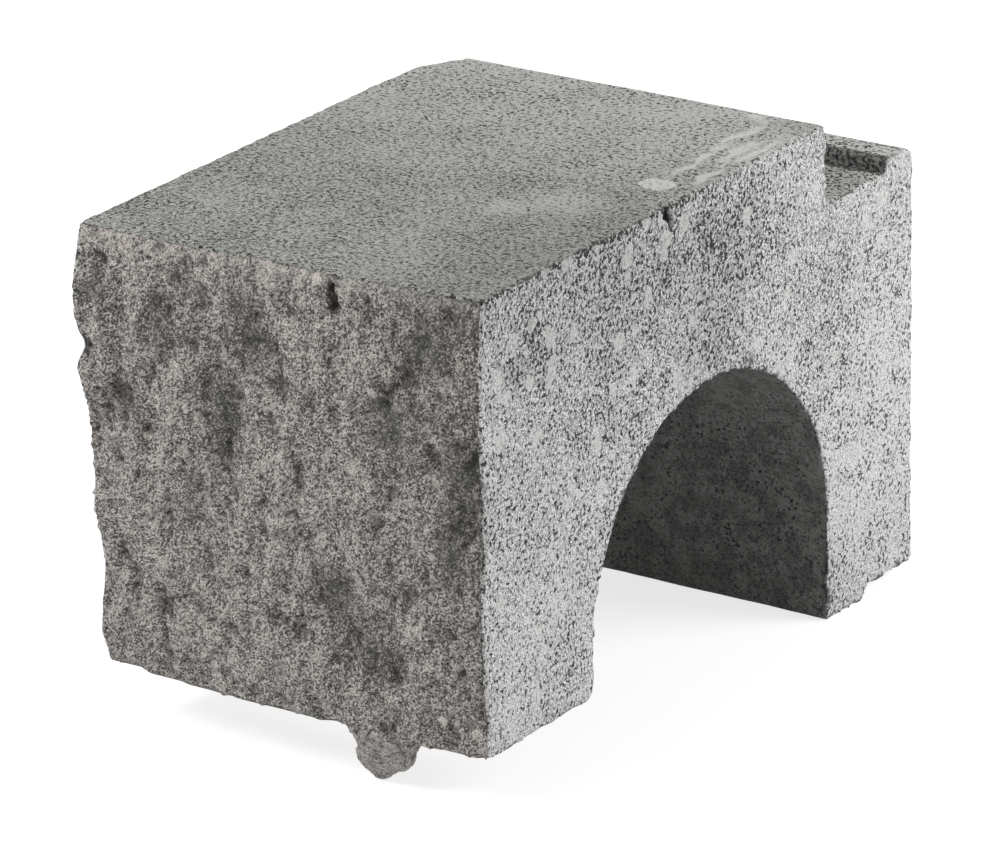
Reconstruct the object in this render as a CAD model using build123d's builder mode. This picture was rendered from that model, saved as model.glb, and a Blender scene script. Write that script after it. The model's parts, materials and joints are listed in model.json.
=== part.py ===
"""A split-face concrete wall block: one cast piece with an arched tunnel and a stepped back.

Millimetres. X runs along the wall, from the block's left end to its right end, Y from the split
front to the back, and Z up. The origin is on the floor, below the middle of the block's box.
"""
import os

from build123d import *

# The block as it is laid
course_height = 200.0  # from the foot of the front leg to the bed face on top
block_width = 198.0  # from end face to end face
body_depth = 264.5  # from the split line to the back of the bed face
rear_depth = 72.5  # from the back of the bed face to the back of the block
key_drop = 30.0  # how far the rear leg hooks down behind the course below
key_clearance = 0.5  # play between the rear leg and the course that it hooks behind

# Groove and lip behind the bed face
groove_depth = 6.0
lip_width = 23.0
lip_back_round = 7.0

# Rib under the rear leg, and the higher foot behind it
rib_width = 33.0
rib_height = 5.4

# Tunnel under the bed face, a half-round arch on straight sides
front_leg_depth = 79.5
arch_side_height = 20.0  # straight side of the front leg, from its foot up to the arch

# Worn corners of the section
foot_round = 5.0  # inner corner of the front leg's foot
edge_round = 2.0  # other arrises

# Split front: how far its highest crest stands forward of the split line
split_relief = 10.0

# Corner of the bed face that is broken off, at the back on the left
break_across = 13.5
break_along = 22.0

# Stub of broken concrete under the front edge, and the place of its left end along the block
stub_width = 39.0
stub_depth = 33.0
stub_place_share = 0.126
stub_front_share = 0.3  # of the split relief: how far the stub's root stands forward with the front
stub_sink = 6.0  # how far the root reaches up into the front leg

overrun = 5.0  # what a cut reaches past the faces that it breaks

# Crests and hollows of the split front, in shares of its relief. Each row runs from the left end
# to the right end, at the places across that the column shares give, and the rows go up.
split_column_shares = (-0.5, -0.38, -0.26, -0.14, -0.02, 0.11, 0.24, 0.37, 0.5)
split_row_shares = (
    (0.00, (-0.50, -0.10, 0.08, 0.15, 0.20, 0.25, 0.35, 0.25, 0.10)),
    (0.08, (0.08, 0.30, 0.20, 0.45, 0.40, 0.30, 0.30, 0.40, 0.05)),
    (0.23, (-0.35, 0.15, 0.45, 0.35, 0.45, 0.00, 0.10, 0.55, 0.30)),
    (0.36, (0.05, 0.40, 0.20, 0.55, 0.40, 0.30, 0.50, 0.60, 0.35)),
    (0.46, (0.21, 0.50, 0.10, 0.30, 0.70, 0.55, 0.35, 0.45, 0.05)),
    (0.57, (0.45, 0.35, 0.30, 0.10, 0.65, 0.50, 0.20, 0.40, 0.10)),
    (0.69, (0.80, 0.55, 0.45, 0.05, 0.50, 0.70, 0.05, 0.35, 0.25)),
    (0.77, (0.90, 0.60, 0.55, 0.15, 0.45, 0.65, 0.30, 0.15, 0.30)),
    (0.85, (1.00, 0.75, 0.50, 0.35, 0.20, 0.60, 0.50, 0.30, 0.25)),
    (1.00, (0.50, 0.55, 0.60, 0.45, 0.35, 0.35, 0.25, 0.15, 0.00)),
)

# Outline of the stub in shares of its width and depth, and its sections from the root down to the
# tip: height in shares of the drop to the floor, then left, right, front and back.
stub_outline_shares = ((0.0, 0.25), (0.15, 0.0), (0.9, 0.0), (1.0, 0.25), (0.65, 1.0), (0.1, 1.0))
stub_section_shares = (
    (1.0, 0.0, 1.0, 0.0, 1.0),
    (0.4, -0.12, 0.66, 0.35, 0.95),
    (0.0, 0.1, 0.26, 0.58, 0.8),
)

# Corner rounds of the rib and the lip, in shares of their height
rib_round_share = 0.6
rib_root_share = 0.35
lip_front_share = 0.35

# Levels
floor_z = 0.0
foot_z = floor_z + key_drop
top_z = foot_z + course_height
lip_z = top_z - key_drop
groove_z = lip_z - groove_depth
rear_foot_z = floor_z + rib_height
spring_z = foot_z + arch_side_height

# Places from front to back, about the middle of the block's box
total_depth = body_depth + rear_depth
split_y = -(total_depth - split_relief) / 2
cast_y = split_y + split_relief
leg_y = split_y + front_leg_depth
upstand_y = split_y + body_depth
heel_y = upstand_y + key_clearance
rib_back_y = heel_y + rib_width
back_y = split_y + total_depth
lip_front_y = back_y - lip_width

# The arch spans from the front leg to the heel of the rear leg
arch_radius = (heel_y - leg_y) / 2
arch_y = (heel_y + leg_y) / 2
crown_z = spring_z + arch_radius

# Places from left to right, about the middle of the block
left_x = -block_width / 2
stub_x = stub_place_share * block_width


def split_point(height_share, relief_share):
    """A point of the split front, in the plane of the section."""
    return (split_y - relief_share * split_relief, foot_z + height_share * course_height)


def stub_points(left_share, right_share, front_share, back_share):
    """The stub's outline at one level, seen from above."""
    left = stub_x + left_share * stub_width
    width = (right_share - left_share) * stub_width
    front = split_y - stub_front_share * split_relief + front_share * stub_depth
    depth = (back_share - front_share) * stub_depth
    return [(left + across * width, front + along * depth) for across, along in stub_outline_shares]


with BuildPart() as wall_block:
    # The cast section, the same from end to end
    with BuildSketch(Plane.YZ) as section:
        with BuildLine():
            Polyline((leg_y, spring_z), (leg_y, foot_z), (cast_y, foot_z), (cast_y, top_z),
                     (upstand_y, top_z), (upstand_y, groove_z), (lip_front_y, groove_z),
                     (lip_front_y, lip_z), (back_y, lip_z), (back_y, rear_foot_z),
                     (rib_back_y, rear_foot_z), (rib_back_y, floor_z), (heel_y, floor_z),
                     (heel_y, spring_z))
            ThreePointArc((heel_y, spring_z), (arch_y, crown_z), (leg_y, spring_z))
        make_face()
        rounded_corners = (
            ((leg_y, foot_z), foot_round),
            ((upstand_y, top_z), edge_round),
            ((lip_front_y, lip_z), lip_front_share * groove_depth),
            ((back_y, lip_z), lip_back_round),
            ((back_y, rear_foot_z), edge_round),
            ((rib_back_y, rear_foot_z), rib_root_share * rib_height),
            ((rib_back_y, floor_z), rib_round_share * rib_height),
            ((heel_y, floor_z), edge_round),
        )
        for corner, radius in rounded_corners:
            fillet(section.vertices().sort_by_distance(corner)[0], radius=radius)
    extrude(amount=block_width / 2, both=True)

    # The broken layer in front, as flat-sided crests and hollows from end to end
    for column, across_share in enumerate(split_column_shares):
        with BuildSketch(Plane.YZ.offset(across_share * block_width)):
            with BuildLine():
                crests = [split_point(height, reliefs[column]) for height, reliefs in split_row_shares]
                Polyline((cast_y, foot_z), *crests, (cast_y, top_z), close=True)
            make_face()
    loft(ruled=True)

    # The stub, from inside the front leg down to the floor
    stub_sections = [(floor_z + height * key_drop, outline) for height, *outline in stub_section_shares]
    stub_sections.insert(0, (foot_z + stub_sink, stub_sections[0][1]))
    for level, outline in stub_sections:
        with BuildSketch(Plane.XY.offset(level)):
            Polygon(*stub_points(*outline), align=None)
    loft(ruled=True)

    # The corner of the bed face that is broken off, down to the groove
    with BuildSketch(Plane.XY.offset(groove_z)):
        with BuildLine():
            Polyline((left_x, upstand_y - break_along), (left_x + break_across, upstand_y),
                     (left_x + break_across, upstand_y + overrun), (left_x - overrun, upstand_y + overrun),
                     (left_x - overrun, upstand_y - break_along), close=True)
        make_face()
    extrude(amount=top_z + overrun - groove_z, mode=Mode.SUBTRACT)

wall_block.part.label = "wall_block"

os.makedirs("parts", exist_ok=True)
export_step(wall_block.part, "parts/wall_block.step")
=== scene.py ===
"""Dresses the split-face wall block: its broken front, its cast faces, their wear, and a plain studio."""
import json
import math

import bmesh
import bpy
from bpy.props import FloatProperty, FloatVectorProperty, IntProperty, PointerProperty
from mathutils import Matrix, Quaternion, Vector


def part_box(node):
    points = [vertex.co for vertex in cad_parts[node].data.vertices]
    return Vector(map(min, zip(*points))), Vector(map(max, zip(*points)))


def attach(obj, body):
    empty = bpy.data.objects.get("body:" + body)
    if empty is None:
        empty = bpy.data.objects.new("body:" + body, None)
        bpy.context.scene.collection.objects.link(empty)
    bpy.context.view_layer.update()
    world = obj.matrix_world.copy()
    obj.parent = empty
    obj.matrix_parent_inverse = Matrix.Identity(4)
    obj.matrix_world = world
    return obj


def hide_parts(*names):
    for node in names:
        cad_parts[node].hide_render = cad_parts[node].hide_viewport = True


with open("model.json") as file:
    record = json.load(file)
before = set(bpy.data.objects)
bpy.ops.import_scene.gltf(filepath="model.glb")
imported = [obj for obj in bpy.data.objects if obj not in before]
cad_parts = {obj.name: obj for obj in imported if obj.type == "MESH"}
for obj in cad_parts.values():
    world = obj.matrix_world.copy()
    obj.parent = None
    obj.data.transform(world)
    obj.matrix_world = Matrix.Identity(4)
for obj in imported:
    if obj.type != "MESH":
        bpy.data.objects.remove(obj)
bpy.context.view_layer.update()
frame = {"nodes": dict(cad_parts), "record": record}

bl_info = {
    "name": "Split-face wall block",
    "version": (1, 0, 0),
    "blender": (4, 5, 0),
    "location": "View3D > Sidebar > Block",
    "description": "Makes the looks of a split-face concrete wall block around its packed solid",
    "category": "Object",
}

# The block's own frame, in metres
NODE = "wall_block"
LOW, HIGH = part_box(NODE)
COURSE_HEIGHT = 0.200
SPLIT_RELIEF = 0.010
SPLIT_LINE = LOW.y + SPLIT_RELIEF
FOOT_HEIGHT = HIGH.z - COURSE_HEIGHT
STUB_REACH = 0.050  # from the split line back past the stub
OPENINGS = {opening["name"]: opening["box_m"] for opening in frame["record"]["physics"]["openings"]}
GROOVE_FLOOR = OPENINGS["rear_groove"][0][2]
TUNNEL = OPENINGS["tunnel_low"]
TUNNEL_MIDDLE = (TUNNEL[0][1] + TUNNEL[1][1]) / 2
TUNNEL_HALF = 0.0928  # half the span of the arch
TUNNEL_CROWN = 0.1428  # height of the top of the arch
WELD = 1e-6  # points nearer than this become one

# Sizes of the relief that have no setting, in metres
CRUMB_SIZE = 0.0024
CRUMB_HEIGHT = 0.0022
HOLE_SIZE = 0.0021
WAVE_SIZE = 0.030
WAVE_HEIGHT = 0.0008
CHIP_SIZE = 0.020
NICK_SIZE = 0.0045

# Sizes of the colour patterns, in metres
SAND_SIZE = 0.00075
FINE_SIZE = 0.0010
PORE_SIZE = 0.0019
MOTTLE_SIZE = 0.011
STREAK_SIZE = 0.006
CLOUD_SIZE = 0.045
STONE_SPACING = 0.0125
BUMP_DISTANCE = 0.001
BUMP_STRENGTH = 0.8
CONCRETE_ROUGHNESS = 0.92

# The studio: lamps, floor and camera sensor
KEY_PLACE = (1.3, 0.85, 0.75)
KEY_SIZE = 1.1
FILL_PLACE = (-0.7, -1.5, 1.5)
FILL_SIZE = 0.7
FLOOR_REACH = 12.0
FLOOR_SEEN = (0.42, 0.42, 0.42)
FLOOR_LIT = (0.75, 0.75, 0.75)
FLOOR_GLOW = 0.74
WHITE = (1.0, 1.0, 1.0)
SENSOR_WIDTH = 36.0
VIEW_REACH = 50.0

# Pockets where the casting is torn out, each with its centre and its radii
POCKETS = (
    ((HIGH.x, SPLIT_LINE + 0.1390, HIGH.z - 0.002), (0.006, 0.0033, 0.0036)),
    ((HIGH.x, SPLIT_LINE + 0.1408, HIGH.z - 0.007), (0.005, 0.0020, 0.0050)),
    ((0.0272, SPLIT_LINE - 0.003, HIGH.z - 0.0075), (0.0016, 0.010, 0.0042)),
    ((0.0294, SPLIT_LINE - 0.003, HIGH.z - 0.0135), (0.0034, 0.010, 0.0042)),
)

# Swellings and dents, each with its centre, its radii and its height: the left edge of the split
# front, then the stub's left side, its right corner, and the lower right corner of the front
LUMPS = (
    *(((LOW.x, SPLIT_LINE - 0.004, z), (0.018, 0.012, up), height) for z, up, height in (
        (0.203, 0.019, 0.0018), (0.1765, 0.006, -0.0031), (0.165, 0.011, 0.0020), (0.138, 0.016, -0.0010))),
    ((0.0225, -0.157, 0.022), (0.007, 0.018, 0.010), -0.0035),
    ((0.0500, -0.152, 0.012), (0.006, 0.014, 0.006), 0.0015),
    ((HIGH.x, SPLIT_LINE - 0.003, 0.030), (0.005, 0.006, 0.005), -0.0015),
)

# Stained patches of the split front, then duller patches of the right end and of the bed face
DULL_PATCHES = (
    *(((x, SPLIT_LINE, z), (across, 0.05, up)) for x, z, across, up in (
        (-0.089, 0.204, 0.005, 0.009), (-0.059, 0.194, 0.008, 0.012), (-0.015, 0.198, 0.010, 0.020),
        (-0.030, 0.160, 0.010, 0.025), (-0.044, 0.120, 0.009, 0.014), (0.077, 0.205, 0.010, 0.014),
        (0.058, 0.169, 0.014, 0.017), (0.090, 0.150, 0.008, 0.022), (0.085, 0.118, 0.009, 0.012),
        (0.026, 0.090, 0.013, 0.014), (0.045, 0.068, 0.011, 0.015), (-0.076, 0.155, 0.007, 0.010))),
    ((HIGH.x, -0.060, 0.205), (0.02, 0.085, 0.030)),
    ((HIGH.x, 0.010, 0.182), (0.02, 0.034, 0.045)),
    ((0.090, -0.100, HIGH.z), (0.045, 0.090, 0.02)),
    ((0.088, 0.093, HIGH.z), (0.012, 0.009, 0.01)),
)

# Stones that show plainly, on the right end and on the split front
STONES = (
    *(((HIGH.x, y, z), (0.004, radius, radius)) for y, z, radius in (
        (-0.0960, 0.1965, 0.0036), (-0.0620, 0.1815, 0.0044), (-0.0500, 0.1830, 0.0032),
        (-0.0145, 0.1735, 0.0036), (-0.0525, 0.1635, 0.0042), (-0.0555, 0.2155, 0.0044),
        (-0.0285, 0.2100, 0.0036), (-0.1270, 0.2090, 0.0036), (-0.1470, 0.1840, 0.0036),
        (-0.1410, 0.2060, 0.0044), (-0.1120, 0.1880, 0.0040),
        (SPLIT_LINE + 0.1335, HIGH.z - 0.0045, 0.0034))),
    *(((x, SPLIT_LINE, z), (radius, 0.03, radius)) for x, z, radius in (
        (0.079, 0.045, 0.0026), (0.094, 0.041, 0.0030), (0.020, 0.036, 0.0024), (0.0215, 0.226, 0.0030),
        (0.047, 0.182, 0.0030), (-0.068, 0.141, 0.0026), (0.088, 0.172, 0.0026), (-0.038, 0.216, 0.0024))),
)

# Cement skin smeared along the right edge of the bed face, and a round splash of it
LAITANCE = (
    ((0.0775, 0.034, HIGH.z), (0.0028, 0.030, 0.01)),
    ((0.0755, 0.072, HIGH.z), (0.0028, 0.026, 0.01)),
    ((0.0690, 0.095, HIGH.z), (0.0090, 0.004, 0.01)),
    ((0.0910, 0.022, HIGH.z), (0.0024, 0.020, 0.01)),
    ((0.0945, 0.056, HIGH.z), (0.0024, 0.026, 0.01)),
    ((0.0870, 0.050, HIGH.z), (0.0045, 0.020, 0.01)),
)
SPLASH = (((0.0799, -0.0033, HIGH.z), (0.0095, 0.0085, 0.01)),)

# Painted shade on the front of the lip, from end to end of the groove, where the upstand shades it
LIP_PAINTED_SHADE = (((0.0, 0.1505, 0.1965), (0.3, 0.0050, 0.0080)),)

# Paler patches of the right end and of the bed face
PALE_PATCHES = (
    ((HIGH.x, 0.152, 0.110), (0.02, 0.048, 0.110)),
    ((0.060, -0.044, HIGH.z), (0.020, 0.014, 0.02)),
    ((0.040, -0.060, HIGH.z), (0.012, 0.008, 0.02)),
)


class Term:
    """A number in a node tree, which joins in sums as a plain number does."""

    def __init__(self, graph, socket):
        self.graph = graph
        self.socket = socket

    def math(self, operation, first, second=0.0):
        """The number that a Math node makes of two."""
        node = self.graph.node("ShaderNodeMath", {"operation": operation}, {0: first, 1: second})
        return Term(self.graph, node.outputs[0])

    def __add__(self, other):
        return self.math("ADD", self, other)

    def __sub__(self, other):
        return self.math("SUBTRACT", self, other)

    def __rsub__(self, other):
        return self.math("SUBTRACT", other, self)

    def __mul__(self, other):
        return self.math("MULTIPLY", self, other)

    def __rtruediv__(self, other):
        return self.math("DIVIDE", other, self)

    def __abs__(self):
        return self.math("ABSOLUTE", self)

    __radd__ = __add__
    __rmul__ = __mul__

    def most(self, other):
        return self.math("MAXIMUM", self, other)

    def least(self, other):
        return self.math("MINIMUM", self, other)

    def blend(self, low, high):
        """Runs from low to high as the number goes from 0 to 1."""
        return self * (high - low) + low

    def step(self, low, high):
        """Runs smoothly from 0 at low to 1 at high, which may be the smaller of the two."""
        node = self.graph.node("ShaderNodeMapRange", {"interpolation_type": "SMOOTHSTEP"},
                               {"Value": self, "From Min": low, "From Max": high})
        return Term(self.graph, node.outputs[0])


class Graph:
    """A shader or geometry tree that is being filled with nodes."""

    def __init__(self, tree):
        self.tree = tree

    def node(self, kind, settings=None, values=None):
        """Adds a node, sets it, and gives its sockets their values or links."""
        node = self.tree.nodes.new(kind)
        for name, value in (settings or {}).items():
            setattr(node, name, value)
        for key, value in (values or {}).items():
            socket = self.socket(node.inputs, key)
            if isinstance(value, Term):
                value = value.socket
            if isinstance(value, bpy.types.NodeSocket):
                self.tree.links.new(value, socket)
            else:
                socket.default_value = value
        return node

    def socket(self, sockets, key):
        """A socket by its place, or the one in use that has this name."""
        if isinstance(key, int):
            return sockets[key]
        return next(socket for socket in sockets if socket.name == key and socket.enabled)

    def term(self, node, key=0):
        """A number that a node gives."""
        return Term(self, self.socket(node.outputs, key))

    def parts(self, vector):
        """The three numbers of a vector."""
        node = self.node("ShaderNodeSeparateXYZ", values={0: vector})
        return [Term(self, socket) for socket in node.outputs]

    def vector(self, operation, first, second=None, scale=None):
        """The vector that a Vector Math node makes."""
        values = {0: first}
        if second is not None:
            values[1] = second
        if scale is not None:
            values["Scale"] = scale
        return self.node("ShaderNodeVectorMath", {"operation": operation}, values).outputs["Vector"]

    def mix(self, share, first, second):
        """One colour going over into another."""
        node = self.node("ShaderNodeMix", {"data_type": "RGBA"}, {0: share, 6: first, 7: second})
        return node.outputs[2]


def rgba(colour):
    """The colour with full cover, as a socket takes it."""
    return (*colour, 1.0)


# Patterns that the relief and the colours share


def noise(graph, place, size, detail=2.0, roughness=0.5):
    """Soft noise about a half, with bumps of about this size."""
    values = {"Vector": place, "Scale": 1 / size, "Detail": detail, "Roughness": roughness}
    return graph.term(graph.node("ShaderNodeTexNoise", values=values))


def swing(graph, place, size):
    """A push to and fro that changes over about this size."""
    node = graph.node("ShaderNodeTexNoise", values={"Vector": place, "Scale": 1 / size, "Detail": 1.0})
    return graph.vector("SUBTRACT", node.outputs["Color"], (0.5, 0.5, 0.5))


def pushed(graph, place, push, amount):
    """The place moved about by a push, which makes round spots ragged."""
    return graph.vector("ADD", place, graph.vector("SCALE", push, scale=amount))


def wobbled(graph, place, size, amount):
    """The place moved about by a push of its own."""
    return pushed(graph, place, swing(graph, place, size), amount)


def cells(graph, place, size):
    """Cells of about this size: the distance from each one's middle, in cells, and its lots."""
    node = graph.node("ShaderNodeTexVoronoi", values={"Vector": place, "Scale": 1 / size})
    return graph.term(node, "Distance"), graph.parts(node.outputs["Color"])


def stones(graph, place):
    """Pale stones of the mix that lie at the surface."""
    distance, lots = cells(graph, place, STONE_SPACING)
    reach = 0.14 + 0.28 * lots[1]
    return (reach - distance).step(0.0, 0.08) * lots[0].step(0.62, 0.64)


def pores(graph, place, size):
    """Ragged pores between the grains of the dry mix."""
    return noise(graph, place, size, 2.0, 0.65)


def patches(graph, place, spots, edge=1.25, core=0.45):
    """Soft round patches, each given by its centre and its radii, which fade out from core to edge."""
    nearest = None
    for centre, radii in spots:
        shrink = [1 / radius for radius in radii]
        shift = [-middle / radius for middle, radius in zip(centre, radii)]
        offset = graph.node("ShaderNodeVectorMath", {"operation": "MULTIPLY_ADD"},
                            {0: place, 1: shrink, 2: shift})
        length = graph.node("ShaderNodeVectorMath", {"operation": "LENGTH"}, {0: offset.outputs["Vector"]})
        reach = Term(graph, length.outputs["Value"])
        nearest = reach if nearest is None else nearest.least(reach)
    return nearest.step(edge, core)


def lumps(graph, place, spots):
    """Soft swellings and dents, each given by its centre, its radii and its height."""
    return sum(patches(graph, place, [(centre, radii)], 1.5, 0.0) * height for centre, radii, height in spots)


# The relief of the casting


RELIEF_INPUTS = (
    ("Geometry", "NodeSocketGeometry"),
    ("Crest Height", "NodeSocketFloat"),
    ("Crest Size", "NodeSocketFloat"),
    ("Flake Height", "NodeSocketFloat"),
    ("Flake Size", "NodeSocketFloat"),
    ("Grain Height", "NodeSocketFloat"),
    ("Grain Size", "NodeSocketFloat"),
    ("Pit Depth", "NodeSocketFloat"),
    ("Arris Wear", "NodeSocketFloat"),
    ("Chip Depth", "NodeSocketFloat"),
    ("Pocket Depth", "NodeSocketFloat"),
    ("Seed", "NodeSocketInt"),
    ("Material", "NodeSocketMaterial"),
)


def store(graph, geometry, name, value, kind="FLOAT"):
    """Keeps a value on the points, for the colours to read."""
    node = graph.node("GeometryNodeStoreNamedAttribute", {"data_type": kind, "domain": "POINT"},
                      {"Geometry": geometry, "Name": name, "Value": value})
    return node.outputs["Geometry"]


def stored(graph, name, kind="FLOAT"):
    """A value that the points keep."""
    node = graph.node("GeometryNodeInputNamedAttribute", {"data_type": kind}, {"Name": name})
    return graph.socket(node.outputs, "Attribute")


def blurred(graph, value, rounds, kind, weight=1.0):
    """A value evened out with the points around."""
    node = graph.node("GeometryNodeBlurAttribute", {"data_type": kind},
                      {"Value": value, "Iterations": rounds, "Weight": weight})
    return graph.socket(node.outputs, "Value")


def relief_tree():
    """Makes the plain casting broken in front, pitted on its faces and worn along its arrises."""
    tree = bpy.data.node_groups.new("Concrete relief", "GeometryNodeTree")
    for name, kind in RELIEF_INPUTS:
        tree.interface.new_socket(name=name, in_out="INPUT", socket_type=kind)
    tree.interface.new_socket(name="Geometry", in_out="OUTPUT", socket_type="NodeSocketGeometry")
    graph = Graph(tree)
    given = graph.node("NodeGroupInput")
    size = {name: graph.term(given, name) for name, kind in RELIEF_INPUTS if kind == "NodeSocketFloat"}

    # What each point of the plain casting belongs to
    place = graph.node("GeometryNodeInputPosition").outputs[0]
    normal = graph.node("GeometryNodeInputNormal").outputs[0]
    x, y, z = graph.parts(place)
    nx, ny, nz = graph.parts(normal)
    front = (0 - ny).step(0.35, 0.8) * y.step(SPLIT_LINE + 0.015, SPLIT_LINE + 0.011)
    stub_back = SPLIT_LINE + STUB_REACH
    stub = z.step(FOOT_HEIGHT - 0.0006, FOOT_HEIGHT - 0.002) * y.step(stub_back + 0.004, stub_back)
    corner = (0 - nx).step(0.6, 0.75) * ny.step(0.3, 0.45) * z.step(GROOVE_FLOOR, GROOVE_FLOOR + 0.002)
    broken = front.most(stub).most(corner)
    end_face = abs(nx).step(0.35, 0.8) * (1 - broken)
    facing = blurred(graph, normal, 4, "FLOAT_VECTOR")
    steady = graph.node("ShaderNodeVectorMath", {"operation": "LENGTH"}, {0: facing}).outputs["Value"]
    arris = (1 - Term(graph, steady)).step(0.03, 0.20)
    geometry = given.outputs["Geometry"]
    geometry = store(graph, geometry, "broken", blurred(graph, broken, 1, "FLOAT"))
    geometry = store(graph, geometry, "end_face", blurred(graph, end_face, 1, "FLOAT"))
    geometry = store(graph, geometry, "arris", arris)
    geometry = store(graph, geometry, "facing", graph.vector("NORMALIZE", facing), "FLOAT_VECTOR")

    # The flat sides of the split front run into each other
    inner = Term(graph, stored(graph, "broken")) * (1 - Term(graph, stored(graph, "arris")))
    softened = blurred(graph, place, 30, "FLOAT_VECTOR", inner)
    values = {"Geometry": geometry, "Position": softened}
    geometry = graph.node("GeometryNodeSetPosition", values=values).outputs[0]

    # Relief of each kind of face, out of the surface
    seed = graph.node("ShaderNodeCombineXYZ", values={0: graph.term(given, "Seed")}).outputs[0]
    shifted = graph.vector("ADD", place, seed)
    broken = Term(graph, stored(graph, "broken"))
    end_face = Term(graph, stored(graph, "end_face"))
    arris = Term(graph, stored(graph, "arris"))
    tall = graph.vector("MULTIPLY", shifted, (1.0, 1.0, 0.6))
    crests = (noise(graph, tall, size["Crest Size"], 2.0) - 0.5) * size["Crest Height"]
    flakes = (noise(graph, tall, size["Flake Size"], 2.0) - 0.5) * size["Flake Height"]
    distance, lots = cells(graph, wobbled(graph, shifted, 0.003, 0.004), size["Grain Size"])
    grains = (0.42 - distance) * (0.5 + lots[0]) * size["Grain Height"]
    crumbs = (noise(graph, shifted, CRUMB_SIZE) - 0.5) * CRUMB_HEIGHT
    fresh = grains + crumbs
    holes = pores(graph, place, HOLE_SIZE).step(0.38, 0.28) * size["Pit Depth"]
    waves = (noise(graph, shifted, WAVE_SIZE, 3.0) - 0.5) * WAVE_HEIGHT
    cast = waves - holes * (0.35 + 0.65 * end_face)
    chips = noise(graph, shifted, CHIP_SIZE, 3.0).step(0.53, 0.70) * size["Chip Depth"]
    nicks = noise(graph, shifted, NICK_SIZE).step(0.46, 0.70) * size["Arris Wear"]
    wear = arris * (chips + nicks) * (1 - 0.4 * broken)
    torn = patches(graph, wobbled(graph, place, 0.005, 0.006), POCKETS) * size["Pocket Depth"]
    calm = z.step(FOOT_HEIGHT - 0.006, FOOT_HEIGHT)
    split = (crests + flakes) * calm + fresh * (0.4 + 0.6 * calm)
    height = broken * split + (1 - broken) * cast - wear - torn
    height = height + lumps(graph, place, LUMPS)
    # The broken face's relief height, from which the colours paint shade in its hollows and light on its
    # crests
    geometry = store(graph, geometry, "hollow", broken * (fresh + flakes) * 1000 - torn * 800)
    ragged = wobbled(graph, place, 0.012, 0.020)
    geometry = store(graph, geometry, "dull", patches(graph, ragged, DULL_PATCHES, 1.7, 0.2))
    geometry = store(graph, geometry, "pale", patches(graph, ragged, PALE_PATCHES, 1.5, 0.3))
    upright = graph.vector("MULTIPLY", shifted, (1.0, 1.0, 0.45))
    geometry = store(graph, geometry, "streak", noise(graph, upright, STREAK_SIZE, 3.0, 0.6))
    geometry = store(graph, geometry, "cloud", noise(graph, shifted, CLOUD_SIZE, 2.0) - 0.5)
    offset = graph.vector("SCALE", stored(graph, "facing", "FLOAT_VECTOR"), scale=height)
    values = {"Geometry": geometry, "Offset": offset}
    geometry = graph.node("GeometryNodeSetPosition", values=values).outputs[0]

    # Nothing goes below the floor that the block stands on
    x, y, z = graph.parts(place)
    standing = graph.node("ShaderNodeCombineXYZ", values={0: x, 1: y, 2: z.most(LOW.z)}).outputs[0]
    values = {"Geometry": geometry, "Position": standing}
    geometry = graph.node("GeometryNodeSetPosition", values=values).outputs[0]
    geometry = graph.node("GeometryNodeSetShadeSmooth", values={"Geometry": geometry}).outputs[0]
    geometry = graph.node("GeometryNodeRealizeInstances", values={"Geometry": geometry}).outputs[0]
    values = {"Geometry": geometry, "Material": given.outputs["Material"]}
    geometry = graph.node("GeometryNodeSetMaterial", values=values).outputs[0]
    graph.node("NodeGroupOutput", values={"Geometry": geometry})
    return tree


# The finish


def attribute(graph, name):
    """A number that the relief kept on the points."""
    return graph.term(graph.node("ShaderNodeAttribute", {"attribute_name": name}), "Fac")


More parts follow.
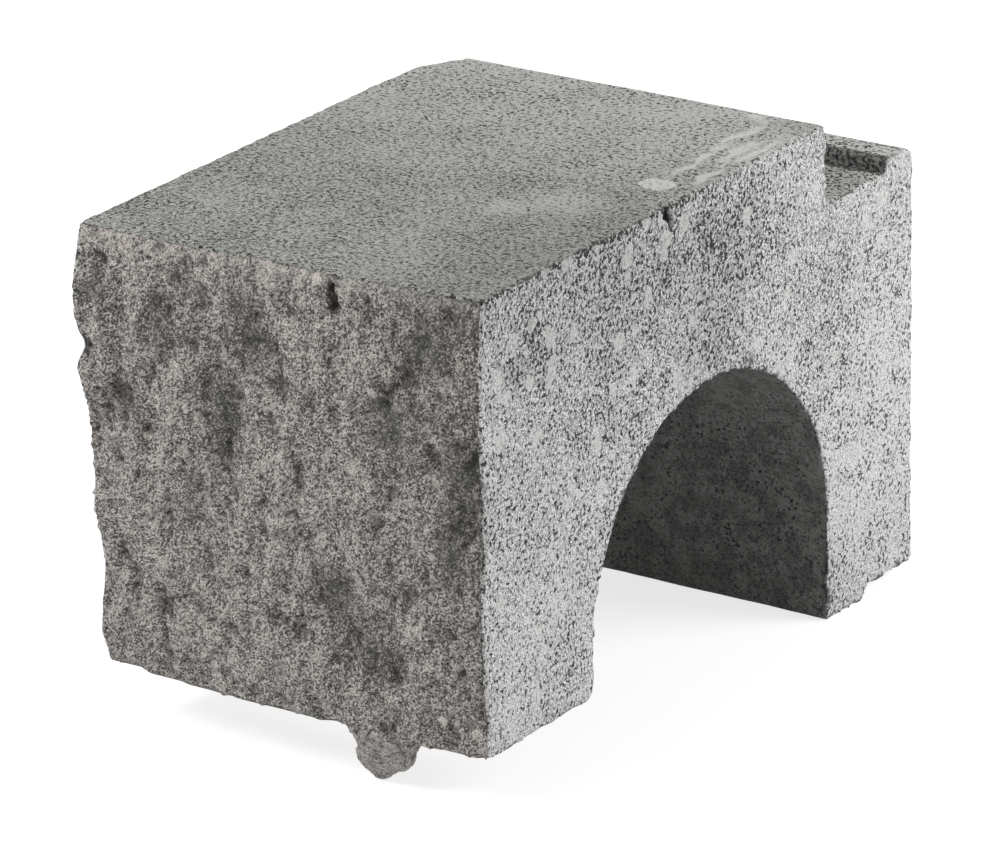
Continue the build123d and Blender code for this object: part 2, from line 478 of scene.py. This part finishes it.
def concrete(colours):
    """Pitted pale end faces, finer grey cast faces, and a warm, granular broken front."""
    material = bpy.data.materials.new("Split and cast concrete")
    material.use_nodes = True
    material.node_tree.nodes.clear()
    graph = Graph(material.node_tree)
    place = graph.node("ShaderNodeTexCoord").outputs["Object"]
    broken = attribute(graph, "broken").step(0.3, 0.7)
    end_face = attribute(graph, "end_face").step(0.3, 0.7)
    arris = attribute(graph, "arris")
    hollow = attribute(graph, "hollow")
    dull = attribute(graph, "dull")
    pale = attribute(graph, "pale")
    streak = attribute(graph, "streak")
    cloud = attribute(graph, "cloud")
    x, y, z = graph.parts(place)
    distance, lots = cells(graph, place, SAND_SIZE)
    sand = lots[0]
    gap = distance.step(0.35, 0.75)
    pore = pores(graph, place, PORE_SIZE)
    fine = noise(graph, place, FINE_SIZE, 1.0)
    mottle = noise(graph, place, MOTTLE_SIZE, 3.0, 0.6)
    push = swing(graph, place, 0.006)
    shown = patches(graph, pushed(graph, place, push, 0.004), STONES).step(0.35, 0.6)
    stone = stones(graph, pushed(graph, place, push, 0.006)).most(shown)
    smear = patches(graph, wobbled(graph, place, 0.020, 0.014), LAITANCE)
    spot = patches(graph, pushed(graph, place, push, 0.005), SPLASH).step(0.40, 0.65)
    # Painted shade on the front of the lip, which the upstand shades
    lip_painted_shade = patches(graph, place, LIP_PAINTED_SHADE).step(0.0, 0.5) * (1 - end_face)
    gather = (mottle - 0.5) * 0.3
    tone = sand * 0.8 + pore - gap * 0.3 - 0.3

    # End faces
    # Painted light: the end faces are made paler and less pitted towards the bottom, standing in for light
    # thrown up from the floor
    low_down = z.step(0.18, 0.04)
    pit = pore + lots[1] * 0.08 + gather * (1 + 0.8 * pale) + 0.025 * low_down - 0.03 * dull - 0.05 * arris
    edge = z.step(HIGH.z - 0.006, HIGH.z - 0.0015)
    rear_top = y.step(0.070, 0.100) * z.step(0.15, 0.185)
    pit = (pit + 0.15 * cloud + 0.06 * rear_top - 0.07 * edge * (1 - y.step(-0.01, 0.03))).step(0.475, 0.44)
    end_tone = (tone + gather * 1.4 + 0.5 * cloud + 0.2 * pale + 0.15 * low_down).step(0.04, 0.94)
    end = graph.mix(end_tone, rgba(colours.end_dark), rgba(colours.end_light))
    end = graph.mix(pit, end, rgba(colours.pit))
    end = graph.mix(stone * 0.75, end, rgba(colours.stone))

    # Cast faces
    beside = abs(y - TUNNEL_MIDDLE).step(TUNNEL_HALF + 0.003, TUNNEL_HALF)
    under = beside * z.step(TUNNEL_CROWN + 0.003, TUNNEL_CROWN)
    # Painted light: the cast faces are made paler towards the back, standing in for the key lamp's stronger
    # light there
    rear = y.step(-0.08, 0.10)
    behind = y.step(0.099, 0.104) * z.step(0.175, 0.190)
    cement = graph.mix(rear * 0.35, rgba(colours.bed_light), rgba(colours.laitance))
    bed_tone = (tone + 0.26 * rear + 0.5 * cloud + 0.25 * pale).step(0.0, 0.9)
    bed = graph.mix(bed_tone, rgba(colours.bed_dark), cement)
    specks = pore + gather * 0.6 + 0.12 * cloud + 0.06 * under - 0.05 * behind
    bed = graph.mix(specks.step(0.43, 0.39), bed, rgba(colours.pit))
    # Painted shade inside the tunnel: its faces are darkened to stand in for the shade under the arch
    tunnel_painted_shade = mottle.step(0.42, 0.60).blend(0.57, 0.75) + (0.5 - sand) * 0.16
    bed = graph.mix(under * tunnel_painted_shade, bed, rgba(colours.pit))
    bed = graph.mix(smear * 0.85 * mottle.step(0.32, 0.52), bed, rgba(colours.laitance))
    bed = graph.mix(spot * pore.step(0.38, 0.50).blend(0.60, 1.0), bed, rgba(colours.laitance))

    # Broken face
    rim = z.step(HIGH.z - 0.012, HIGH.z - 0.002) * 0.3
    shade = x.step(0.0, 0.08) * 0.11
    # Painted light: the crests of the broken face are made paler
    crest_painted_light = hollow.step(0.4, 2.0) * 0.3
    fresh_tone = (sand * 0.9 + fine * 2.2 + pore * 0.4 + streak * 1.1 - dull * 0.25 - 1.81).step(0.0, 0.9)
    # Painted light: the stub under the front foot is made paler to offset the shade under the block
    stub = z.step(FOOT_HEIGHT + 0.004, FOOT_HEIGHT - 0.006) * 0.34
    fresh_tone = fresh_tone + rim + crest_painted_light + stub - shade
    fresh = graph.mix(fresh_tone, rgba(colours.split_dark), rgba(colours.split_light))
    fresh_stone = (stone * 0.45 * mottle.step(0.45, 0.6)).most(shown * 0.95)
    fresh = graph.mix(fresh_stone, fresh, rgba(colours.split_stone))
    fresh = graph.mix((pore + gather * 0.6).step(0.37, 0.33) * 0.75, fresh, rgba(colours.pit))
    fresh = graph.mix(dull * 0.42, fresh, rgba(colours.stain))
    # Painted shade in the hollows of the broken face
    fresh = graph.mix(hollow.step(-0.2, -2.0) * 0.7, fresh, rgba(colours.pit))

    # All of them together, with painted shade in the hollows and on the front of the lip, and dark arrises
    colour = graph.mix(end_face, bed, end)
    colour = graph.mix(dull * 0.2, colour, rgba(colours.pit))
    colour = graph.mix(pale * 0.12, colour, rgba(colours.stone))
    pale_edge = y.step(-0.01, 0.03) * z.step(0.19, 0.21)
    dark_edge = arris.step(0.0, 0.5) * mottle.step(0.50, 0.57) * (0.8 - 0.7 * pale_edge)
    colour = graph.mix(dark_edge, colour, rgba(colours.pit))
    # Painted shade: darkens the front of the lip and the deepest hollows and torn pockets of the broken face
    painted_shade = (lip_painted_shade * pore.step(0.62, 0.40).blend(0.62, 0.92)).most(hollow.step(-0.6, -2.5))
    colour = graph.mix(painted_shade, colour, rgba(colours.pit))
    colour = graph.mix(broken, colour, fresh)
    height = sand * 0.4 - gap * 0.4 * (1 - broken) + pore.step(0.32, 0.48) + broken * (sand + 3.0 * fine)
    values = {"Strength": BUMP_STRENGTH, "Distance": BUMP_DISTANCE, "Height": height}
    bump = graph.node("ShaderNodeBump", values=values)
    values = {"Base Color": colour, "Roughness": CONCRETE_ROUGHNESS, "Normal": bump.outputs[0]}
    shader = graph.node("ShaderNodeBsdfPrincipled", values=values)
    graph.node("ShaderNodeOutputMaterial", values={"Surface": shader.outputs[0]})
    return material


# Settings that a user would change


def length_property(name, description, default):
    """A setting in metres."""
    return FloatProperty(name=name, description=description, default=default, unit="LENGTH")


def colour_property(name, description, default):
    """A colour setting."""
    return FloatVectorProperty(name=name, description=description, default=default,
                               subtype="COLOR", min=0.0, max=1.0)


class BlockRelief(bpy.types.PropertyGroup):
    """Sizes of the block's relief."""

    cell: length_property("Mesh cell", "Size of the cells that the relief is made in", 0.0009)
    faces: IntProperty(
        name="Triangles", description="Triangles that the finished block is thinned to", default=190000)
    crest_height: length_property("Crest height", "Height of the broad crests of the split front", 0.006)
    crest_size: length_property("Crest size", "Width of the broad crests", 0.018)
    flake_height: length_property("Flake height", "Height of the flakes that broke out", 0.007)
    flake_size: length_property("Flake size", "Width of the flakes", 0.009)
    grain_height: length_property("Grain height", "Height of the grains of the broken face", 0.0020)
    grain_size: length_property("Grain size", "Width of the grains", 0.0034)
    pit_depth: length_property("Pit depth", "Depth of the pores in the cast faces", 0.0005)
    arris_wear: length_property("Arris wear", "Depth that the arrises are rubbed off", 0.0015)
    chip_depth: length_property("Chip depth", "Depth of the chips along the arrises", 0.0022)
    pocket_depth: length_property("Pocket depth", "Depth of the torn-out pockets", 0.005)
    seed: IntProperty(name="Seed", description="Picks another like pattern", default=3)


class ConcreteColours(bpy.types.PropertyGroup):
    """Colours of the concrete."""

    end_light: colour_property("End, light", "Cement of the end faces", (0.685, 0.685, 0.68))
    end_dark: colour_property("End, dark", "Sand grains of the end faces", (0.23, 0.23, 0.227))
    stone: colour_property("Stone", "Pale stones of the mix", (0.61, 0.605, 0.595))
    # The pit colour is also what the painted shade in the hollows, in the tunnel and on the front of the lip
    # darkens to
    pit: colour_property("Pit", "Inside of the pores", (0.02, 0.02, 0.019))
    bed_light: colour_property("Bed, light", "Cement of the cast faces", (0.485, 0.49, 0.454))
    bed_dark: colour_property("Bed, dark", "Sand grains of the cast faces", (0.14, 0.142, 0.132))
    split_stone: colour_property("Split, stones", "Stones that show in the broken face", (0.68, 0.63, 0.59))
    split_light: colour_property("Split, light", "Clean grains of the broken face", (0.61, 0.567, 0.533))
    split_dark: colour_property("Split, dark", "Dark grains of the broken face", (0.105, 0.098, 0.091))
    laitance: colour_property("Laitance", "Cement skin smeared over the bed face", (0.66, 0.66, 0.645))
    stain: colour_property("Stain", "Stains of the broken face", (0.078, 0.084, 0.076))


class StudioSettings(bpy.types.PropertyGroup):
    """Camera and light of the studio."""

    azimuth: FloatProperty(
        name="Azimuth", description="Turn of the camera round the block",
        default=math.radians(34.309), subtype="ANGLE")
    elevation: FloatProperty(
        name="Elevation", description="Height of the camera over the horizon",
        default=math.radians(20.633), subtype="ANGLE")
    roll: FloatProperty(
        name="Roll", description="Tilt of the picture", default=math.radians(-1.019), subtype="ANGLE")
    distance: length_property("Distance", "From the camera to the point that it looks at", 3.0741)
    aim: FloatVectorProperty(
        name="Aim", description="Point that the camera looks at",
        default=(0.0108, -0.0218, 0.115), subtype="XYZ")
    lens: FloatProperty(name="Lens", description="Focal length on a sensor 36 mm wide", default=258.91)
    sky: FloatProperty(name="Sky", description="Strength of the light from all round", default=0.32)
    key: FloatProperty(
        name="Key", description="Power of the lamp on the right", default=26.0, unit="POWER")
    fill: FloatProperty(
        name="Fill", description="Power of the lamp on the left, in front", default=30.0, unit="POWER")


def looked_at(graph):
    """1 where the stage is looked at, also in a gloss or through glass, and 0 where it only gives light."""
    path = graph.node("ShaderNodeLightPath")
    seen = graph.term(path, "Is Camera Ray").most(graph.term(path, "Is Glossy Ray"))
    return seen.most(graph.term(path, "Is Transmission Ray"))


class BLOCK_OT_cast_block(bpy.types.Operator):
    """Makes the block's finished mesh from its solid and gives it its concrete"""

    bl_idname = "wall_block.cast_block"
    bl_label = "Concrete block"

    def execute(self, context):
        relief = context.scene.block_relief
        shell = bpy.data.meshes.new_from_object(frame["nodes"][NODE])
        loose = bmesh.new()
        loose.from_mesh(shell)
        bmesh.ops.remove_doubles(loose, verts=loose.verts, dist=WELD)
        loose.to_mesh(shell)
        loose.free()
        plain = bpy.data.objects.new("plain_casting", shell)
        context.scene.collection.objects.link(plain)
        remesh = plain.modifiers.new("Even cells", "REMESH")
        remesh.mode = "VOXEL"
        remesh.voxel_size = relief.cell
        tree = relief_tree()
        nodes = plain.modifiers.new("Relief", "NODES")
        nodes.node_group = tree
        values = {
            "Crest Height": relief.crest_height, "Crest Size": relief.crest_size,
            "Flake Height": relief.flake_height, "Flake Size": relief.flake_size,
            "Grain Height": relief.grain_height, "Grain Size": relief.grain_size,
            "Pit Depth": relief.pit_depth, "Arris Wear": relief.arris_wear,
            "Chip Depth": relief.chip_depth, "Pocket Depth": relief.pocket_depth,
            "Seed": relief.seed, "Material": concrete(context.scene.block_colours),
        }
        for item in tree.interface.items_tree:
            if item.in_out == "INPUT" and item.name in values:
                nodes[item.identifier] = values[item.name]
        depsgraph = context.evaluated_depsgraph_get()
        full = bpy.data.meshes.new_from_object(plain.evaluated_get(depsgraph))
        full.calc_loop_triangles()
        plain.modifiers.clear()
        plain.data = full
        thin = plain.modifiers.new("Thinned", "DECIMATE")
        thin.ratio = min(1.0, relief.faces / len(full.loop_triangles))
        depsgraph = context.evaluated_depsgraph_get()
        mesh = bpy.data.meshes.new_from_object(plain.evaluated_get(depsgraph))
        bpy.data.objects.remove(plain)
        block = bpy.data.objects.new("concrete_block", mesh)
        context.scene.collection.objects.link(block)
        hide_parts(NODE)
        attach(block, "root")
        return {"FINISHED"}


class BLOCK_OT_studio(bpy.types.Operator):
    """Sets up the floor, the light and the camera"""

    bl_idname = "wall_block.studio"
    bl_label = "Studio"

    def execute(self, context):
        studio = context.scene.block_studio
        self.floor(context)
        self.world(context, studio.sky)
        self.lamp(context, "key_lamp", KEY_PLACE, KEY_SIZE, studio.key)
        self.lamp(context, "fill_lamp", FILL_PLACE, FILL_SIZE, studio.fill)
        self.camera(context, studio)
        context.scene.view_settings.view_transform = "Standard"
        return {"FINISHED"}

    def floor(self, context):
        """A wide pale floor that keeps the block's shadow."""
        signs = ((-1, -1), (1, -1), (1, 1), (-1, 1))
        corners = [(across * FLOOR_REACH, along * FLOOR_REACH, LOW.z) for across, along in signs]
        mesh = bpy.data.meshes.new("floor")
        mesh.from_pydata(corners, [], [(0, 1, 2, 3)])
        floor = bpy.data.objects.new("floor", mesh)
        context.scene.collection.objects.link(floor)
        material = bpy.data.materials.new("Pale floor")
        material.use_nodes = True
        material.node_tree.nodes.clear()
        graph = Graph(material.node_tree)
        seen = looked_at(graph)
        pale = graph.node("ShaderNodeBsdfDiffuse", values={"Color": rgba(FLOOR_SEEN)})
        bright = graph.node("ShaderNodeBsdfDiffuse", values={"Color": rgba(FLOOR_LIT)})
        glow = graph.node("ShaderNodeEmission", values={"Color": rgba(WHITE), "Strength": FLOOR_GLOW})
        shown = graph.node("ShaderNodeAddShader", values={0: pale.outputs[0], 1: glow.outputs[0]})
        both = graph.node("ShaderNodeMixShader", values={0: seen, 1: bright.outputs[0], 2: shown.outputs[0]})
        graph.node("ShaderNodeOutputMaterial", values={"Surface": both.outputs[0]})
        mesh.materials.append(material)

    def world(self, context, strength):
        """Even light from all round, before a white background."""
        world = bpy.data.worlds.new("Studio sky")
        world.use_nodes = True
        world.node_tree.nodes.clear()
        graph = Graph(world.node_tree)
        seen = looked_at(graph)
        sky = graph.node("ShaderNodeBackground", values={"Color": rgba(WHITE), "Strength": strength})
        white = graph.node("ShaderNodeBackground", values={"Color": rgba(WHITE), "Strength": 1.0})
        both = graph.node("ShaderNodeMixShader", values={0: seen, 1: sky.outputs[0], 2: white.outputs[0]})
        graph.node("ShaderNodeOutputWorld", values={"Surface": both.outputs[0]})
        context.scene.world = world

    def lamp(self, context, name, place, size, power):
        """A soft round lamp that shines on the block."""
        data = bpy.data.lights.new(name, "AREA")
        data.shape = "DISK"
        data.size = size
        data.energy = power
        lamp = bpy.data.objects.new(name, data)
        lamp.location = place
        middle = (LOW + HIGH) / 2
        lamp.rotation_mode = "QUATERNION"
        lamp.rotation_quaternion = (middle - Vector(place)).to_track_quat("-Z", "Y")
        context.scene.collection.objects.link(lamp)

    def camera(self, context, studio):
        """The camera of the photograph's view."""
        level = math.cos(studio.elevation)
        back = Vector((math.sin(studio.azimuth) * level, -math.cos(studio.azimuth) * level,
                       math.sin(studio.elevation)))
        data = bpy.data.cameras.new("camera")
        data.sensor_width = SENSOR_WIDTH
        data.lens = studio.lens
        data.clip_end = VIEW_REACH
        camera = bpy.data.objects.new("camera", data)
        camera.location = Vector(studio.aim) + back * studio.distance
        camera.rotation_mode = "QUATERNION"
        camera.rotation_quaternion = (-back).to_track_quat("-Z", "Y") @ Quaternion((0, 0, 1), studio.roll)
        context.scene.collection.objects.link(camera)
        context.scene.camera = camera


class BLOCK_PT_panel(bpy.types.Panel):
    """Lists the block's settings and makers"""

    bl_idname = "BLOCK_PT_panel"
    bl_label = "Wall block"
    bl_space_type = "VIEW_3D"
    bl_region_type = "UI"
    bl_category = "Block"

    def draw(self, context):
        for settings in (context.scene.block_relief, context.scene.block_colours, context.scene.block_studio):
            column = self.layout.column()
            for name in settings.__annotations__:
                column.prop(settings, name)
        self.layout.operator(BLOCK_OT_cast_block.bl_idname)
        self.layout.operator(BLOCK_OT_studio.bl_idname)


CLASSES = (BlockRelief, ConcreteColours, StudioSettings, BLOCK_OT_cast_block, BLOCK_OT_studio, BLOCK_PT_panel)


def register():
    for cls in CLASSES:
        bpy.utils.register_class(cls)
    bpy.types.Scene.block_relief = PointerProperty(type=BlockRelief)
    bpy.types.Scene.block_colours = PointerProperty(type=ConcreteColours)
    bpy.types.Scene.block_studio = PointerProperty(type=StudioSettings)


def unregister():
    del bpy.types.Scene.block_studio
    del bpy.types.Scene.block_colours
    del bpy.types.Scene.block_relief
    for cls in reversed(CLASSES):
        bpy.utils.unregister_class(cls)


def main():
    register()
    bpy.ops.wall_block.cast_block()
    bpy.ops.wall_block.studio()


if __name__ == "__main__":
    main()
